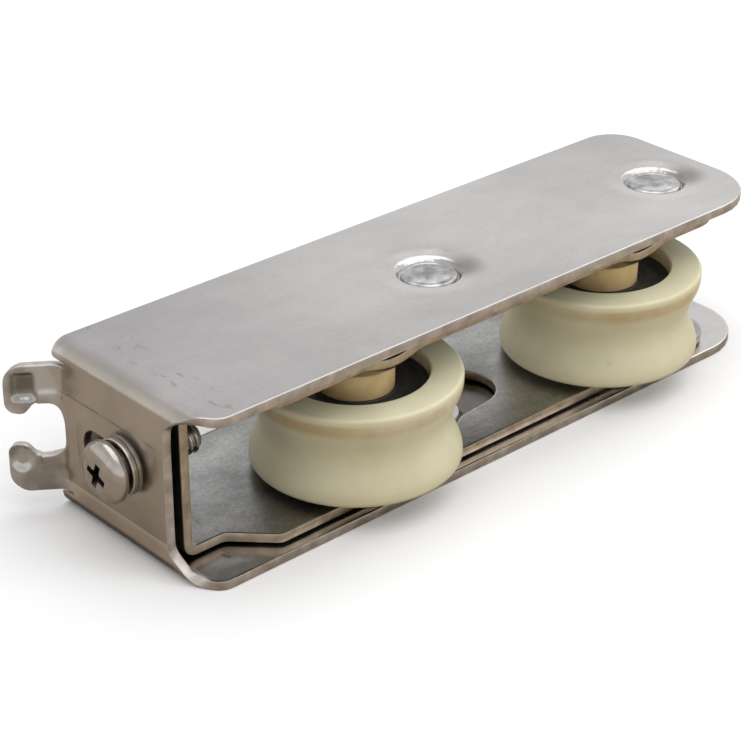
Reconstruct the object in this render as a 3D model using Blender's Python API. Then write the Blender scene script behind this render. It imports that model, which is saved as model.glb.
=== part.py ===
"""Tandem sliding-door roller with end adjustment, for Blender 4.5. Units are metres, +Z up.

The roller lies on one flange, as it is carried. +X runs along it, away from the end web that holds the
adjusting screw. -Y is the open side, where the wheels stand out to meet the track. The wheel axes are
along Z. Everything is placed in the housing's own coordinates: X from the end web's outer face, Y from
the flanges' front edge, Z from the lower flange's outer face. An empty then centres the roller on its base.
"""

import math

import bmesh
import bpy
from mathutils import Matrix, Vector

# Driving dimensions of the outer housing: a strip folded into a U around the end web.
SHEET = 0.0015
LENGTH = 0.117
WIDTH = 0.034
HEIGHT = 0.027
BEND_RADIUS = 0.003
WEB_FRONT = 0.008
FRONT_CORNER = 0.0105
BACK_CORNER = 0.006

# The two hook tabs on the end web's back edge.
TAB_ROOT = WIDTH - 0.0028
TAB_HALF_SPAN = HEIGHT / 2 - BEND_RADIUS - 0.0002
TAB_RELIEF = 0.0006
TAB_NECK = 0.0043
TAB_LOBE = 0.0026
TAB_LENGTH = 0.0089
TAB_LOBE_LENGTH = 0.003
TAB_BEND = math.radians(58)
TAB_BEND_RADIUS = 0.002
TAB_CURL = math.radians(20)
TAB_CURL_RADIUS = 0.003

# The inner carriage, a second folded strip that slides inside the first.
FLANGE_GAP = 0.0004
WEB_GAP = 0.0011
CARRIAGE_BEND_RADIUS = 0.0022
CARRIAGE_FRONT = 0.0018
CARRIAGE_BACK = WIDTH - 0.003
CARRIAGE_NECK = 0.0076
CARRIAGE_NECK_LENGTH = 0.007
CARRIAGE_END_MARGIN = 0.008
CARRIAGE_FRONT_CORNER = 0.009
CARRIAGE_BACK_CORNER = 0.006

# Wheels, both on axes along Z.
WHEEL_X = (0.0366, LENGTH - 0.0279)
WHEEL_Y = 0.0102
WHEEL_RADIUS = 0.015875
WHEEL_WIDTH = 0.0146
WHEEL_Z = HEIGHT / 2 - 0.0018
RIM_ROUND = 0.0013
GROOVE_DEPTH = 0.0016
GROOVE_HALF_WIDTH = 0.0052

# Ball bearings, on plain axles.
AXLE_RADIUS = 0.004
AXLE_HEAD_RADIUS = AXLE_RADIUS + 0.0014
AXLE_HEAD = 0.0012
SPACER_RADIUS = AXLE_RADIUS + 0.0018
BEARING_RADIUS = 0.011
BEARING_WIDTH = 0.0086
BALL_RADIUS = 0.001985
BALL_COUNT = 7
PITCH_RADIUS = (AXLE_RADIUS + BEARING_RADIUS) / 2
RACE_GROOVE = 0.0001
INNER_LAND = PITCH_RADIUS - 0.00155
OUTER_LAND = PITCH_RADIUS + 0.00155
CAGE_HALF_HEIGHT = BALL_RADIUS + 0.0007
CAGE_HALF_THICKNESS = 0.0005
SEAL_THICKNESS = 0.00055
SEAL_BORE = SPACER_RADIUS + 0.00025

# Dishes that bring the carriage's flanges in to the wheels' spacers and hold the axle heads.
DISH_DEPTH = 0.003
DISH_FLOOR = AXLE_HEAD_RADIUS + 0.0006
DISH_RIM = DISH_FLOOR + 0.004

# Guide rivets, in the dimples of the housing that run in the carriage's slots.
GUIDE_X = (0.0555, LENGTH - 0.0108)
GUIDE_Y = 0.0148
DIMPLE_DEPTH = 0.0011
DIMPLE_FLOOR = 0.0049
DIMPLE_RIM = DIMPLE_FLOOR + 0.0019
BOSS_RADIUS = 0.0056
BOSS_END_RADIUS = BOSS_RADIUS - 0.0004
RIVET_HEAD_RADIUS = 0.00435
RIVET_HEAD = 0.0009
RIVET_SHANK = 0.0024
RIVET_TAIL_RADIUS = 0.0037
RIVET_TAIL = 0.0005
SLOT_CLEARANCE = 0.0002
RAMP = math.radians(30)
TRAVEL = 0.005
ENTRY_LENGTH = 0.0077
ENTRY_SLOPE = math.radians(6)

# Adjusting screw and its washer, on an axis along X.
SCREW_Y = 0.0182
SCREW_RADIUS = 0.00245
SCREW_TIP = 0.0128
SCREW_HEAD_RADIUS = SCREW_RADIUS + 0.00225
SCREW_HEAD = 0.0032
CROSS_LENGTH = 0.0052
CROSS_WIDTH = 0.0011
CROSS_DEPTH = 0.0019
SCREW_SLOT_REACH = 0.0059
WASHER_RADIUS = SCREW_RADIUS + 0.00195
WASHER_THICKNESS = 0.0008
HEAD_GAP = 0.00035

# Fits between pieces.
SEAT_GAP = 0.00015
RUNNING_GAP = 0.0001
LOOSE_GAP = 0.0003

MID_HEIGHT = HEIGHT / 2
CARRIAGE_LOW = SHEET + FLANGE_GAP
CARRIAGE_HEIGHT = HEIGHT - 2 * CARRIAGE_LOW
CARRIAGE_WEB = SHEET + WEB_GAP
CARRIAGE_LENGTH = LENGTH - CARRIAGE_END_MARGIN - CARRIAGE_WEB
SLOT_RADIUS = BOSS_RADIUS + SLOT_CLEARANCE


def clear_scene():
    for obj in list(bpy.data.objects):
        bpy.data.objects.remove(obj, do_unlink=True)


def material(name, colour, metallic, roughness):
    made = bpy.data.materials.new(name)
    made.use_nodes = True
    shader = made.node_tree.nodes["Principled BSDF"]
    shader.inputs["Base Color"].default_value = (*colour, 1)
    shader.inputs["Metallic"].default_value = metallic
    shader.inputs["Roughness"].default_value = roughness
    made.diffuse_color = (*colour, 1)
    return made


def add_object(name, bm, finish=None, parent=None, location=(0, 0, 0), smooth=30):
    mesh = bpy.data.meshes.new(name)
    bm.to_mesh(mesh)
    bm.free()
    mesh.shade_smooth()
    mesh.set_sharp_from_angle(angle=math.radians(smooth))
    obj = bpy.data.objects.new(name, mesh)
    bpy.context.scene.collection.objects.link(obj)
    obj.location = location
    obj.parent = parent
    if finish:
        mesh.materials.append(finish)
    return obj


def add_empty(name, location, parent=None):
    empty = bpy.data.objects.new(name, None)
    empty.empty_display_size = 0.01
    bpy.context.scene.collection.objects.link(empty)
    empty.location = location
    empty.parent = parent
    return empty


def boolean(obj, operation, bm, name):
    """Cuts or joins the closed mesh bm, given in the object's own coordinates."""
    helper = add_object(name, bm, parent=obj.parent, location=obj.location)
    helper.hide_render = True
    helper.display_type = "WIRE"
    modifier = obj.modifiers.new(name, "BOOLEAN")
    modifier.operation = operation
    modifier.solver = "EXACT"
    modifier.object = helper


def fillet(corners, steps=5):
    """Points of a closed outline whose corners, given as (x, y, radius), are rounded."""
    points = []
    for i, (x, y, radius) in enumerate(corners):
        corner = Vector((x, y))
        before = (Vector(corners[i - 1][:2]) - corner).normalized()
        after = (Vector(corners[(i + 1) % len(corners)][:2]) - corner).normalized()
        half = before.angle(after) / 2
        if radius == 0 or half > math.radians(89):
            points.append(corner)
            continue
        reach = radius / math.tan(half)
        centre = corner + (before + after).normalized() * (radius / math.sin(half))
        start = corner + before * reach - centre
        sweep = (math.pi - 2 * half) * math.copysign(1, before.cross(after)) * -1
        for step in range(steps + 1):
            points.append(centre + Matrix.Rotation(sweep * step / steps, 2) @ start)
    return points


def plate(points, low, high):
    """A closed plate between two heights, from its outline in X and Y."""
    bm = bmesh.new()
    face = bm.faces.new([bm.verts.new((p[0], p[1], low)) for p in points])
    grown = bmesh.ops.extrude_face_region(bm, geom=[face])
    top = [item for item in grown["geom"] if isinstance(item, bmesh.types.BMVert)]
    bmesh.ops.translate(bm, verts=top, vec=(0, 0, high - low))
    bmesh.ops.recalc_face_normals(bm, faces=bm.faces)
    return bm


def turned(profile, segments):
    """A closed ring or disc from its section: (radius, height) points around it, on or off the axis."""
    bm = bmesh.new()
    verts = [bm.verts.new((radius, 0, height)) for radius, height in profile]
    edges = [bm.edges.new((verts[i - 1], verts[i])) for i in range(len(verts))]
    bmesh.ops.spin(
        bm,
        geom=verts + edges,
        cent=(0, 0, 0),
        axis=(0, 0, 1),
        angle=math.tau,
        steps=segments,
        use_merge=True,
    )
    bmesh.ops.remove_doubles(bm, verts=bm.verts, dist=1e-6)
    bmesh.ops.dissolve_degenerate(bm, dist=1e-7, edges=bm.edges)
    bmesh.ops.recalc_face_normals(bm, faces=bm.faces)
    return bm


def cone(bottom_radius, top_radius, low, high, x=0, y=0, segments=32):
    bm = turned([(0, low), (bottom_radius, low), (top_radius, high), (0, high)], segments)
    bmesh.ops.translate(bm, verts=bm.verts, vec=(x, y, 0))
    return bm


def stadium(start, end, radius, steps=10):
    """Outline of a slot between two centres."""
    along = (end - start).normalized()
    side = Vector((-along.y, along.x))
    points = []
    for centre, first in ((end, -side), (start, side)):
        for step in range(steps + 1):
            turn = Matrix.Rotation(math.pi * step / steps, 2)
            points.append(centre + turn @ first * radius)
    return points


def ramp_slot(low, bend, end, radius, steps=8):
    """Outline of a slot that follows two straight legs and turns to the right between them."""
    first = (bend - low).normalized()
    second = (end - bend).normalized()
    turn = second.angle(first)
    left = Vector((-first.y, first.x))
    inner = -(left + Matrix.Rotation(-turn, 2) @ left).normalized() * (radius / math.cos(turn / 2))
    arcs = ((end, -math.pi / 2 - turn, math.pi / 2 - turn), (bend, math.pi / 2 - turn, math.pi / 2))
    arcs += ((low, math.pi / 2, 3 * math.pi / 2),)
    points = [bend + inner]
    for centre, start, stop in arcs:
        for step in range(steps + 1):
            angle = start + (stop - start) * step / steps
            points.append(centre + Matrix.Rotation(angle, 2) @ first * radius)
    return points


def cut_front(bm, y):
    """Removes what stands in front of a plane across Y, and closes the cut."""
    geometry = bm.verts[:] + bm.edges[:] + bm.faces[:]
    bmesh.ops.bisect_plane(bm, geom=geometry, plane_co=(0, y, 0), plane_no=(0, 1, 0), clear_inner=True)
    open_edges = [edge for edge in bm.edges if edge.is_boundary]
    bmesh.ops.holes_fill(bm, edges=open_edges)
    bmesh.ops.recalc_face_normals(bm, faces=bm.faces)
    return bm


def along_path(segments, distance):
    """Where a sheet's outer face lies after its bends: sideways and forward travel, and heading.

    segments are (length, turn) pairs, and a positive turn bends towards the inner face.
    """
    across, forward, heading = 0.0, 0.0, 0.0
    for length, turn in segments:
        part = max(0.0, min(distance, length))
        if turn:
            radius = length / turn
            angle = turn * part / length
            across += radius * (math.cos(heading) - math.cos(heading + angle))
            forward += radius * (math.sin(heading + angle) - math.sin(heading))
            heading += angle
        else:
            across += part * math.sin(heading)
            forward += part * math.cos(heading)
        distance -= part
        if distance <= 0:
            break
    return across, forward, heading


def path_cuts(segments, steps):
    """Distances along a path at which its bends are divided into flat strips."""
    cuts = []
    reached = 0.0
    for length, turn in segments:
        if turn:
            cuts += [reached + length * step / steps for step in range(steps + 1)]
        reached += length
    return cuts


def folded_strip(outline, half_web, radius, flange, web_x, tab_path=(), tab_root=1.0):
    """Folds a flat blank, (distance from the web's middle, Y) in outline, into a U of sheet metal.

    tab_path, where given, bends what stands behind tab_root on the web.
    """
    bm = plate(outline, 0, SHEET)
    fold = ((half_web, 0), (radius * math.pi / 2, math.pi / 2), (flange, 0))
    planes = []
    for cut in path_cuts(fold, 6):
        planes += [((cut, 0, 0), (1, 0, 0)), ((-cut, 0, 0), (1, 0, 0))]
    planes += [((0, tab_root + cut, 0), (0, 1, 0)) for cut in path_cuts(tab_path, 4)]
    for place, normal in planes:
        geometry = bm.verts[:] + bm.edges[:] + bm.faces[:]
        bmesh.ops.bisect_plane(bm, geom=geometry, dist=1e-6, plane_co=place, plane_no=normal)
    for vert in bm.verts:
        reach, y, depth = vert.co
        across, forward, heading = along_path(fold, abs(reach))
        x = across + depth * math.cos(heading)
        z = math.copysign(forward - depth * math.sin(heading), reach)
        if tab_path and y > tab_root and abs(reach) <= half_web:
            across, forward, heading = along_path(tab_path, y - tab_root)
            x = across + depth * math.cos(heading)
            y = tab_root + forward - depth * math.sin(heading)
        vert.co = (web_x + x, y, MID_HEIGHT + z)
    bmesh.ops.recalc_face_normals(bm, faces=bm.faces)
    return bm


def mirrored(half):
    """A closed outline from the corners of its half with positive reach, listed from front to back."""
    return half + [(-reach, y, radius) for reach, y, radius in reversed(half)]


def flip_over(bm):
    """Turns a feature of the upper flange into the same feature of the lower one."""
    bmesh.ops.scale(bm, vec=(1, 1, -1), verts=bm.verts)
    bmesh.ops.translate(bm, verts=bm.verts, vec=(0, 0, HEIGHT))
    bmesh.ops.reverse_faces(bm, faces=bm.faces)
    return bm


def on_both_flanges(obj, operation, make, name):
    boolean(obj, operation, make(), name + "_upper")
    boolean(obj, operation, flip_over(make()), name + "_lower")


def across_web(points, low, high):
    """A plate whose outline is given in Y and Z, standing across the X axis."""
    bm = plate(points, low, high)
    bm.transform(Matrix(((0, 0, 1, 0), (1, 0, 0, 0), (0, 1, 0, 0), (0, 0, 0, 1))))
    return bm


def make_housing(parent, steel):
    half_web = MID_HEIGHT - BEND_RADIUS
    bend = BEND_RADIUS * math.pi / 2
    flange = LENGTH - BEND_RADIUS
    end = half_web + bend + flange
    tab_tip = TAB_ROOT + TAB_LENGTH
    slit = TAB_ROOT - TAB_RELIEF / 2
    relief = TAB_HALF_SPAN + TAB_RELIEF
    half = [
        (half_web - 0.0006, WEB_FRONT, 0.002),
        (half_web + bend + 0.0012, 0, 0.003),
        (end, 0, FRONT_CORNER),
        (end, WIDTH, BACK_CORNER),
        (relief, WIDTH, 0.0004),
        (relief, slit, 0),
        (TAB_HALF_SPAN, slit, 0),
        (TAB_HALF_SPAN, tab_tip, 0.0024),
        (TAB_LOBE, tab_tip, 0.0012),
        (TAB_LOBE, tab_tip - TAB_LOBE_LENGTH, 0.0008),
        (TAB_NECK, tab_tip - TAB_LOBE_LENGTH - 0.0012, 0.001),
        (TAB_NECK, slit, 0.0022),
    ]
    neck = TAB_LENGTH - TAB_LOBE_LENGTH - TAB_BEND_RADIUS * TAB_BEND
    tab_path = (
        (TAB_BEND_RADIUS * TAB_BEND, -TAB_BEND),
        (neck - 0.001, 0),
        (TAB_CURL_RADIUS * TAB_CURL, TAB_CURL),
        (TAB_LENGTH, 0),
    )
    bm = folded_strip(
        fillet(mirrored(half)), half_web, BEND_RADIUS, flange, 0, tab_path, TAB_ROOT
    )
    housing = add_object("outer_housing", bm, steel, parent)

    inner_face = HEIGHT - SHEET
    for number, x in enumerate(GUIDE_X, 1):
        on_both_flanges(
            housing,
            "UNION",
            lambda x=x: cone(
                BOSS_END_RADIUS, BOSS_RADIUS,
                inner_face - DIMPLE_DEPTH, inner_face + SHEET / 2, x, GUIDE_Y,
            ),
            f"guide_boss_{number}",
        )
        on_both_flanges(
            housing,
            "DIFFERENCE",
            lambda x=x: cone(
                DIMPLE_FLOOR, 2 * DIMPLE_RIM - DIMPLE_FLOOR,
                HEIGHT - DIMPLE_DEPTH, HEIGHT + DIMPLE_DEPTH, x, GUIDE_Y,
            ),
            f"guide_dimple_{number}",
        )
        on_both_flanges(
            housing,
            "DIFFERENCE",
            lambda x=x: cone(
                RIVET_SHANK + RUNNING_GAP, RIVET_SHANK + RUNNING_GAP,
                inner_face - 2 * DIMPLE_DEPTH, HEIGHT - DIMPLE_DEPTH / 2, x, GUIDE_Y, 20,
            ),
            f"guide_hole_{number}",
        )

    slot = stadium(
        Vector((SCREW_Y - LOOSE_GAP, MID_HEIGHT)),
        Vector((SCREW_Y + SCREW_SLOT_REACH, MID_HEIGHT)),
        SCREW_RADIUS + LOOSE_GAP,
    )
    boolean(housing, "DIFFERENCE", across_web(slot, -SHEET, 2 * SHEET), "screw_slot")
    return housing


def make_carriage(parent, steel):
    half_web = CARRIAGE_HEIGHT / 2 - CARRIAGE_BEND_RADIUS
    bend = CARRIAGE_BEND_RADIUS * math.pi / 2
    flange = CARRIAGE_LENGTH - CARRIAGE_BEND_RADIUS
    end = half_web + bend + flange
    neck_end = half_web + bend + CARRIAGE_NECK_LENGTH - CARRIAGE_BEND_RADIUS
    step = CARRIAGE_NECK - CARRIAGE_FRONT
    half = [
        (neck_end, CARRIAGE_NECK, 0.002),
        (neck_end + step, CARRIAGE_FRONT, 0.002),
        (end, CARRIAGE_FRONT, CARRIAGE_FRONT_CORNER),
        (end, CARRIAGE_BACK, CARRIAGE_BACK_CORNER),
    ]
    bm = folded_strip(
        fillet(mirrored(half)), half_web, CARRIAGE_BEND_RADIUS, flange, CARRIAGE_WEB
    )
    carriage = add_object("inner_carriage", bm, steel, parent)

    outer_face = HEIGHT - CARRIAGE_LOW
    inner_face = outer_face - SHEET
    slope = (DISH_RIM - DISH_FLOOR) / DISH_DEPTH
    for number, x in enumerate(WHEEL_X, 1):
        on_both_flanges(
            carriage,
            "UNION",
            lambda x=x: cut_front(
                cone(
                    DISH_FLOOR, DISH_RIM + slope * SHEET / 2,
                    inner_face - DISH_DEPTH, inner_face + SHEET / 2, x, WHEEL_Y, 40,
                ),
                CARRIAGE_FRONT + SEAT_GAP,
            ),
            f"dish_{number}",
        )
        on_both_flanges(
            carriage,
            "DIFFERENCE",
            lambda x=x: cone(
                DISH_FLOOR, DISH_RIM + slope * SHEET,
                outer_face - DISH_DEPTH, outer_face + SHEET, x, WHEEL_Y, 40,
            ),
            f"dish_hollow_{number}",
        )
        on_both_flanges(
            carriage,
            "DIFFERENCE",
            lambda x=x: cone(
                AXLE_RADIUS + RUNNING_GAP, AXLE_RADIUS + RUNNING_GAP,
                inner_face - 2 * DISH_DEPTH, outer_face - DISH_DEPTH / 2, x, WHEEL_Y, 24,
            ),
            f"axle_hole_{number}",
        )

    ramp = Vector((math.cos(RAMP), math.sin(RAMP)))
    entry = Vector((math.cos(ENTRY_SLOPE), math.sin(ENTRY_SLOPE)))
    for number, x in enumerate(GUIDE_X, 1):
        guide = Vector((x, GUIDE_Y))
        lowest = guide - ramp * (TRAVEL + SLOT_CLEARANCE)
        outline = ramp_slot(lowest, guide, guide + entry * ENTRY_LENGTH, SLOT_RADIUS)
        on_both_flanges(
            carriage,
            "DIFFERENCE",
            lambda outline=outline: plate(outline, HEIGHT / 2, HEIGHT),
            f"ramp_slot_{number}",
        )

    bore = SCREW_RADIUS + RUNNING_GAP
    tapped = cone(bore, bore, 0, CARRIAGE_WEB + 2 * SHEET, segments=24)
    tapped.transform(
        Matrix.Translation((0, SCREW_Y, MID_HEIGHT)) @ Matrix.Rotation(math.pi / 2, 4, "Y")
    )
    boolean(carriage, "DIFFERENCE", tapped, "tapped_hole")
    return carriage


def make_guide_rivet(name, x, upper, parent, steel):
    """Flush rivet head outside, shank through the dimple's floor, flat tail inside the boss's slot."""
    floor = HEIGHT - DIMPLE_DEPTH
    boss_end = floor - SHEET
    head_low = floor + SEAT_GAP
    tail_high = boss_end - SEAT_GAP
    profile = [
        (0, tail_high - RIVET_TAIL),
        (RIVET_TAIL_RADIUS, tail_high - RIVET_TAIL),
        (RIVET_TAIL_RADIUS, tail_high),
        (RIVET_SHANK, tail_high),
        (RIVET_SHANK, head_low),
        (RIVET_HEAD_RADIUS, head_low),
        (RIVET_HEAD_RADIUS, head_low + RIVET_HEAD * 0.6),
        (RIVET_HEAD_RADIUS - RIVET_HEAD * 0.4, head_low + RIVET_HEAD),
        (0, head_low + RIVET_HEAD),
    ]
    bm = turned(profile, 20)
    bmesh.ops.translate(bm, verts=bm.verts, vec=(0, 0, -MID_HEIGHT))
    if not upper:
        bmesh.ops.scale(bm, vec=(1, 1, -1), verts=bm.verts)
        bmesh.ops.reverse_faces(bm, faces=bm.faces)
    return add_object(name, bm, steel, parent, (x, GUIDE_Y, MID_HEIGHT))


def groove_arc(radius, side, steps=5):
    """Section of a ball groove, from low to high, in a race of the wheel's own coordinates."""
    reach = BALL_RADIUS + RACE_GROOVE
    land = OUTER_LAND if side > 0 else INNER_LAND
    half = math.acos(abs(land - PITCH_RADIUS) / reach)
    points = []
    for step in range(steps + 1):
        angle = half * (2 * step / steps - 1)
        points.append((PITCH_RADIUS + side * reach * math.cos(angle), reach * math.sin(angle)))
    return points


def make_wheel(number, x, parent, finishes):
    """One grooved wheel with its bearing and axle. Heights are from the wheel's middle."""
    name = f"wheel_{number}"
    axis = add_empty(f"{name}_axis", (x, WHEEL_Y, WHEEL_Z), parent)
    half_width = WHEEL_WIDTH / 2
    half_race = BEARING_WIDTH / 2

    rim = WHEEL_RADIUS - RIM_ROUND
    section = [(BEARING_RADIUS, -half_width), (rim, -half_width)]
    for step in range(1, 4):
        angle = math.pi / 2 * step / 3
        section.append(
            (rim + RIM_ROUND * math.sin(angle), -half_width + RIM_ROUND * (1 - math.cos(angle)))
        )
    for step in range(1, 8):
        height = GROOVE_HALF_WIDTH * (step / 4 - 1)
        dip = GROOVE_DEPTH * (1 + math.cos(math.pi * height / GROOVE_HALF_WIDTH)) / 2
        section.append((WHEEL_RADIUS - dip, height))
    for step in range(3):
        angle = math.pi / 2 * (1 - step / 3)
        section.append(
            (rim + RIM_ROUND * math.sin(angle), half_width - RIM_ROUND * (1 - math.cos(angle)))
        )
    section += [(rim, half_width), (BEARING_RADIUS, half_width)]
    add_object(f"{name}_tyre", turned(section, 44), finishes["nylon"], axis)

    race_radius = BEARING_RADIUS - SEAT_GAP
    outer = [(race_radius, half_race), (race_radius, -half_race), (OUTER_LAND, -half_race)]
    outer += groove_arc(OUTER_LAND, 1) + [(OUTER_LAND, half_race)]
    add_object(f"{name}_outer_race", turned(outer, 36), finishes["bearing"], axis)
    bore = AXLE_RADIUS + RUNNING_GAP
    inner = [(bore, half_race), (bore, -half_race), (INNER_LAND, -half_race)]
    inner += groove_arc(INNER_LAND, -1) + [(INNER_LAND, half_race)]
    add_object(f"{name}_inner_race", turned(inner, 28), finishes["bearing"], axis)

    cage_low, cage_high = -CAGE_HALF_HEIGHT, CAGE_HALF_HEIGHT
    cage_in = PITCH_RADIUS - CAGE_HALF_THICKNESS
    cage_out = PITCH_RADIUS + CAGE_HALF_THICKNESS
    ring = [(cage_in, cage_low), (cage_out, cage_low), (cage_out, cage_high), (cage_in, cage_high)]
    cage = add_object(f"{name}_ball_cage", turned(ring, 42), finishes["brass"], axis)
    for ball in range(BALL_COUNT):
        angle = math.tau * ball / BALL_COUNT
        place = Vector((math.cos(angle), math.sin(angle), 0)) * PITCH_RADIUS
        pocket_radius = BALL_RADIUS + RUNNING_GAP
        pocket = cone(pocket_radius, pocket_radius, -BALL_RADIUS, BALL_RADIUS, segments=14)
        outward = Matrix.Rotation(angle, 4, "Z") @ Matrix.Rotation(math.pi / 2, 4, "Y")
        pocket.transform(Matrix.Translation(place) @ outward)
        boolean(cage, "DIFFERENCE", pocket, f"{name}_pocket_{ball + 1}")
        bm = bmesh.new()
        bmesh.ops.create_uvsphere(bm, u_segments=10, v_segments=7, radius=BALL_RADIUS)
        add_object(f"{name}_ball_{ball + 1}", bm, finishes["bearing"], axis, place, smooth=60)

    seal_low = half_race + SEAT_GAP
    for end, side in (("top", 1), ("bottom", -1)):
        seal = [
            (SEAL_BORE, seal_low),
            (race_radius, seal_low),
            (race_radius, seal_low + SEAL_THICKNESS),
            (SEAL_BORE, seal_low + SEAL_THICKNESS),
        ]
        seal = [(radius, side * height) for radius, height in seal]
        add_object(f"{name}_seal_{end}", turned(seal, 28), finishes["rubber"], axis)

    dish_top = HEIGHT - CARRIAGE_LOW - SHEET - DISH_DEPTH - WHEEL_Z
    dish_bottom = CARRIAGE_LOW + SHEET + DISH_DEPTH - WHEEL_Z
    spans = {
        "top": (half_race + SEAT_GAP, dish_top - SEAT_GAP),
        "bottom": (dish_bottom + SEAT_GAP, -half_race - SEAT_GAP),
    }
    for end, (low, high) in spans.items():
        spacer = [(bore, low), (SPACER_RADIUS, low), (SPACER_RADIUS, high), (bore, high)]
        add_object(f"{name}_spacer_{end}", turned(spacer, 28), finishes["spacer"], axis)

    head_low = dish_top + SHEET + SEAT_GAP
    foot_high = dish_bottom - SHEET - SEAT_GAP
    axle = [
        (0, foot_high - AXLE_HEAD),
        (AXLE_HEAD_RADIUS - 0.0004, foot_high - AXLE_HEAD),
        (AXLE_HEAD_RADIUS, foot_high - AXLE_HEAD + 0.0004),
        (AXLE_HEAD_RADIUS, foot_high),
        (AXLE_RADIUS, foot_high),
        (AXLE_RADIUS, head_low),
        (AXLE_HEAD_RADIUS, head_low),
        (AXLE_HEAD_RADIUS, head_low + AXLE_HEAD - 0.0004),
        (AXLE_HEAD_RADIUS - 0.0004, head_low + AXLE_HEAD),
        (0, head_low + AXLE_HEAD),
    ]
    add_object(f"{name}_axle", turned(axle, 28), finishes["steel"], axis)


def make_screw(parent, steel):
    """Pan-head screw with a cross recess. Its own Z is along the world's +X, into the roller."""
    head_low = -SEAT_GAP - WASHER_THICKNESS - HEAD_GAP
    top = head_low - SCREW_HEAD
    profile = [(0, SCREW_TIP), (SCREW_RADIUS * 0.7, SCREW_TIP), (SCREW_RADIUS, SCREW_TIP - 0.001)]
    profile += [(SCREW_RADIUS, head_low), (SCREW_HEAD_RADIUS, head_low)]
    shoulder = SCREW_HEAD * 0.35
    for step in range(6):
        angle = math.pi / 2 * step / 6
        profile.append(
            (
                SCREW_HEAD_RADIUS * (0.45 + 0.55 * math.cos(angle)),
                head_low - shoulder - (SCREW_HEAD - shoulder) * math.sin(angle),
            )
        )
    profile.append((0, top))
    bm = turned(profile, 32)
    bm.transform(Matrix.Rotation(math.pi / 2, 4, "Y"))
    screw = add_object("adjusting_screw", bm, steel, parent)
    for blade in range(2):
        reach, half = CROSS_LENGTH / 2, CROSS_WIDTH / 2
        outline = [(-reach, -half), (reach, -half), (reach, half), (-reach, half)]
        cut = plate(outline, top - SHEET, top + CROSS_DEPTH)
        for vert in cut.verts:
            if vert.co.z > top:
                vert.co.x *= 0.5
        turn = Matrix.Rotation(math.radians(20 + 90 * blade), 4, "Z")
        cut.transform(Matrix.Rotation(math.pi / 2, 4, "Y") @ turn)
        boolean(screw, "DIFFERENCE", cut, f"cross_recess_{blade + 1}")
    return screw


def make_washer(parent, finish):
    bore = SCREW_RADIUS + RUNNING_GAP
    high = -SEAT_GAP
    low = high - WASHER_THICKNESS
    bm = turned([(bore, low), (WASHER_RADIUS, low), (WASHER_RADIUS, high), (bore, high)], 28)
    bm.transform(Matrix.Rotation(math.pi / 2, 4, "Y"))
    return add_object("screw_washer", bm, finish, parent)


def centre_on_base(root):
    """Moves the root so that the roller's box is centred on the origin and stands on Z = 0."""
    bpy.context.view_layer.update()
    graph = bpy.context.evaluated_depsgraph_get()
    points = []
    for obj in bpy.context.scene.objects:
        if obj.type == "MESH" and not obj.hide_render:
            solid = obj.evaluated_get(graph)
            points += [solid.matrix_world @ Vector(corner) for corner in solid.bound_box]
    low = [min(point[axis] for point in points) for axis in range(3)]
    high = [max(point[axis] for point in points) for axis in range(3)]
    root.location = (-(low[0] + high[0]) / 2, -(low[1] + high[1]) / 2, -low[2])


def main():
    clear_scene()
    finishes = {
        "steel": material("stainless_steel", (0.56, 0.54, 0.52), 1.0, 0.32),
        "bearing": material("bearing_steel", (0.62, 0.62, 0.62), 1.0, 0.2),
        "nylon": material("ivory_nylon", (0.80, 0.76, 0.52), 0.0, 0.42),
        "spacer": material("tan_spacer", (0.66, 0.52, 0.28), 0.0, 0.4),
        "brass": material("brass", (0.72, 0.55, 0.25), 1.0, 0.35),
        "rubber": material("black_rubber", (0.02, 0.02, 0.02), 0.0, 0.6),
    }
    root = add_empty("roller", (0, 0, 0))
    carriage_slide = add_empty("carriage_slide", (0, 0, 0), root)
    screw_axis = add_empty("screw_axis", (0, SCREW_Y, MID_HEIGHT), root)

    make_housing(root, finishes["steel"])
    make_carriage(carriage_slide, finishes["steel"])
    for number, x in enumerate(GUIDE_X, 1):
        make_guide_rivet(f"guide_rivet_{number}_upper", x, True, root, finishes["steel"])
        make_guide_rivet(f"guide_rivet_{number}_lower", x, False, root, finishes["steel"])
    for number, x in enumerate(WHEEL_X, 1):
        make_wheel(number, x, carriage_slide, finishes)
    make_screw(screw_axis, finishes["steel"])
    make_washer(screw_axis, finishes["steel"])
    centre_on_base(root)


main()
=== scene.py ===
"""Studio scene of a tandem sliding-door roller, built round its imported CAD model, for Blender 4.5.

Sheet-metal pieces are meshed as flat blanks in millimetres and then folded. Roller coordinates are
millimetres: X from the end web's outer face, Y from the flanges' front edge, Z from the base.
"""

import math

import bmesh
import bpy
import numpy as np
from mathutils import Matrix, Vector
from mathutils.geometry import delaunay_2d_cdt


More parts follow.
